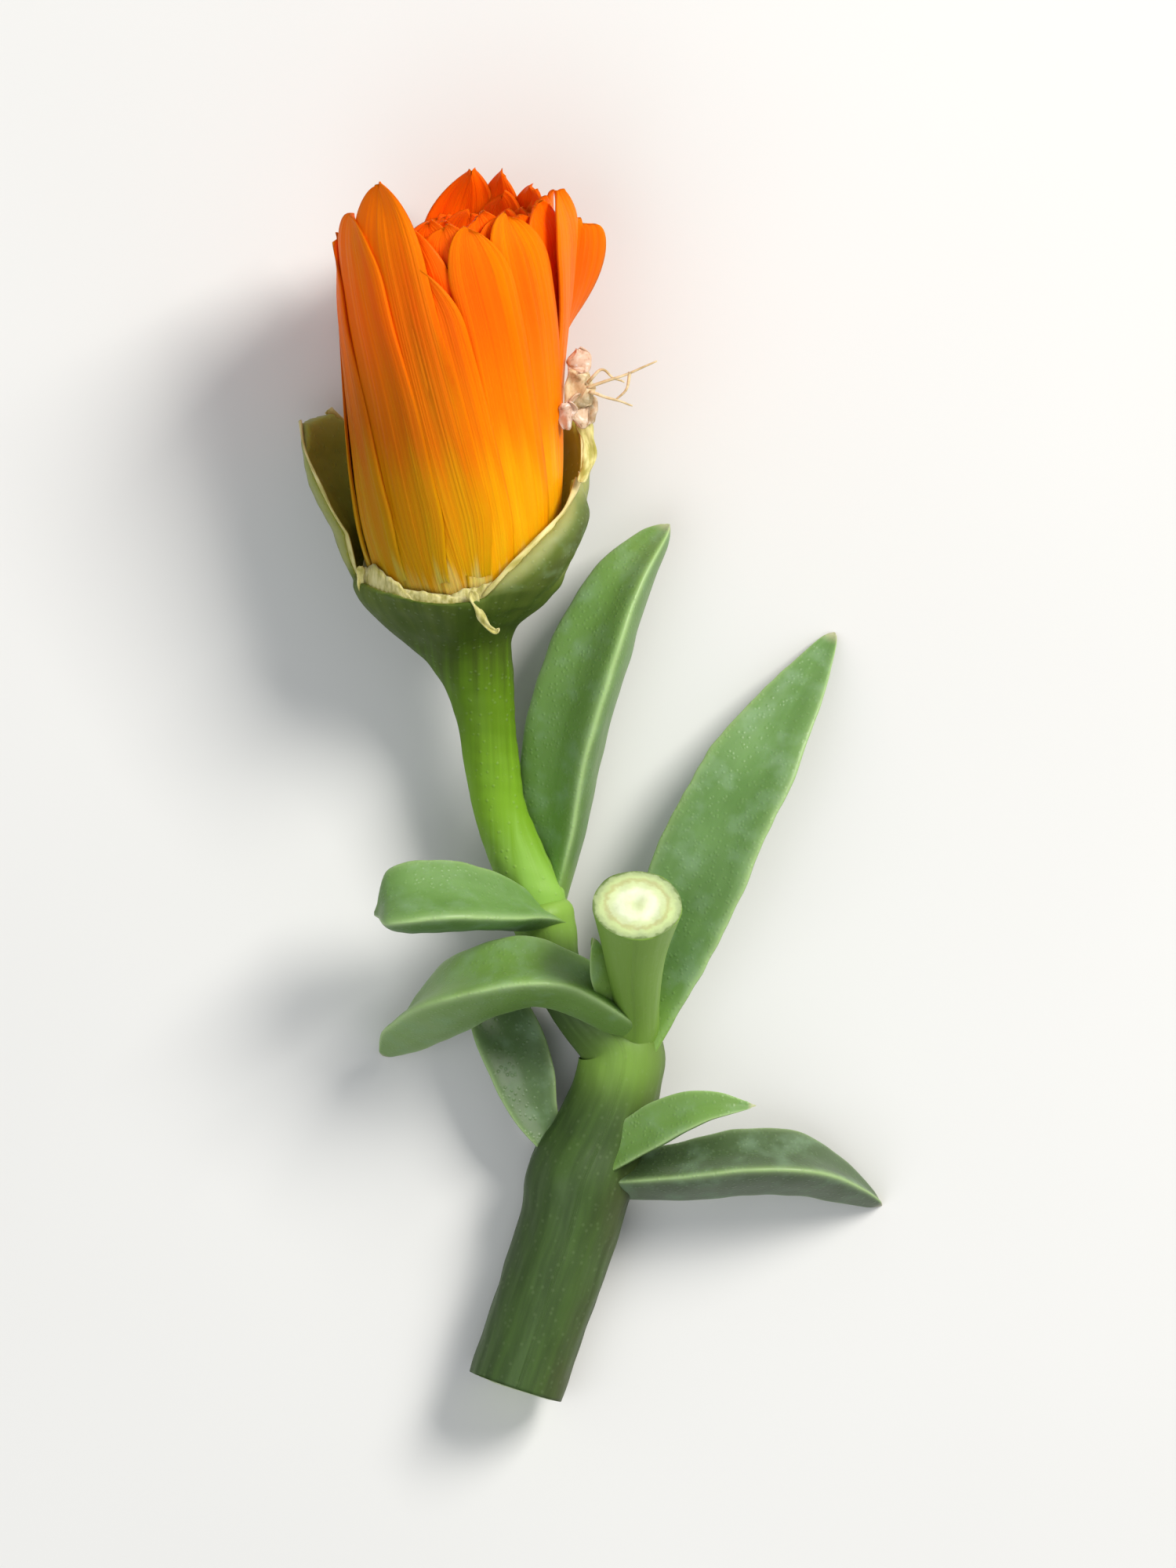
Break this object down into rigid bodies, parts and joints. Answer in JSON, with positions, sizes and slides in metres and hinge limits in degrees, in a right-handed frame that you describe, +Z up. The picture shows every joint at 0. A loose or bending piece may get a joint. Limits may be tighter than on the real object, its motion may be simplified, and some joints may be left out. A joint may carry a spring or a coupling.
{
  "type": "ice plant flower",
  "caption": "Closed orange ice plant flower with its calyx, stalk, bracts and a short leafy stem with a cut side stub, lying on its side as picked.",
  "frame": {"origin": "middle of the footprint of the lying sprig, on the surface that it rests on", "axes": "+Z up, +Y along the sprig from the cut stem end to the flower, +X towards the long free leaf"},
  "size_m": [0.0264, 0.055, 0.0135],
  "materials": {
    "petal": "thin silky orange petals, yellow at the base and red-orange at the tips, with fine lengthwise veins",
    "stamen": "dull yellow filaments and anthers",
    "calyx_and_stalk": "fleshy olive green sepals with papery pale edges, over a bright yellow-green stalk",
    "stem": "dull green stem with brown shading, and a pale moist cut face",
    "leaf": "waxy three-cornered succulent leaf, blue-green with fine dots and paler edges and keel"
  },
  "bodies": {
    "root": {"petals": "petal", "stamens": "stamen", "flower_base": "calyx_and_stalk", "stem": "stem", "bract_right": "leaf", "bract_left": "leaf", "leaf_right": "leaf", "leaf_left": "leaf", "lower_leaf_right": "leaf", "lower_leaf_left": "leaf", "axil_leaf": "leaf"}
  },
  "joints": []
}
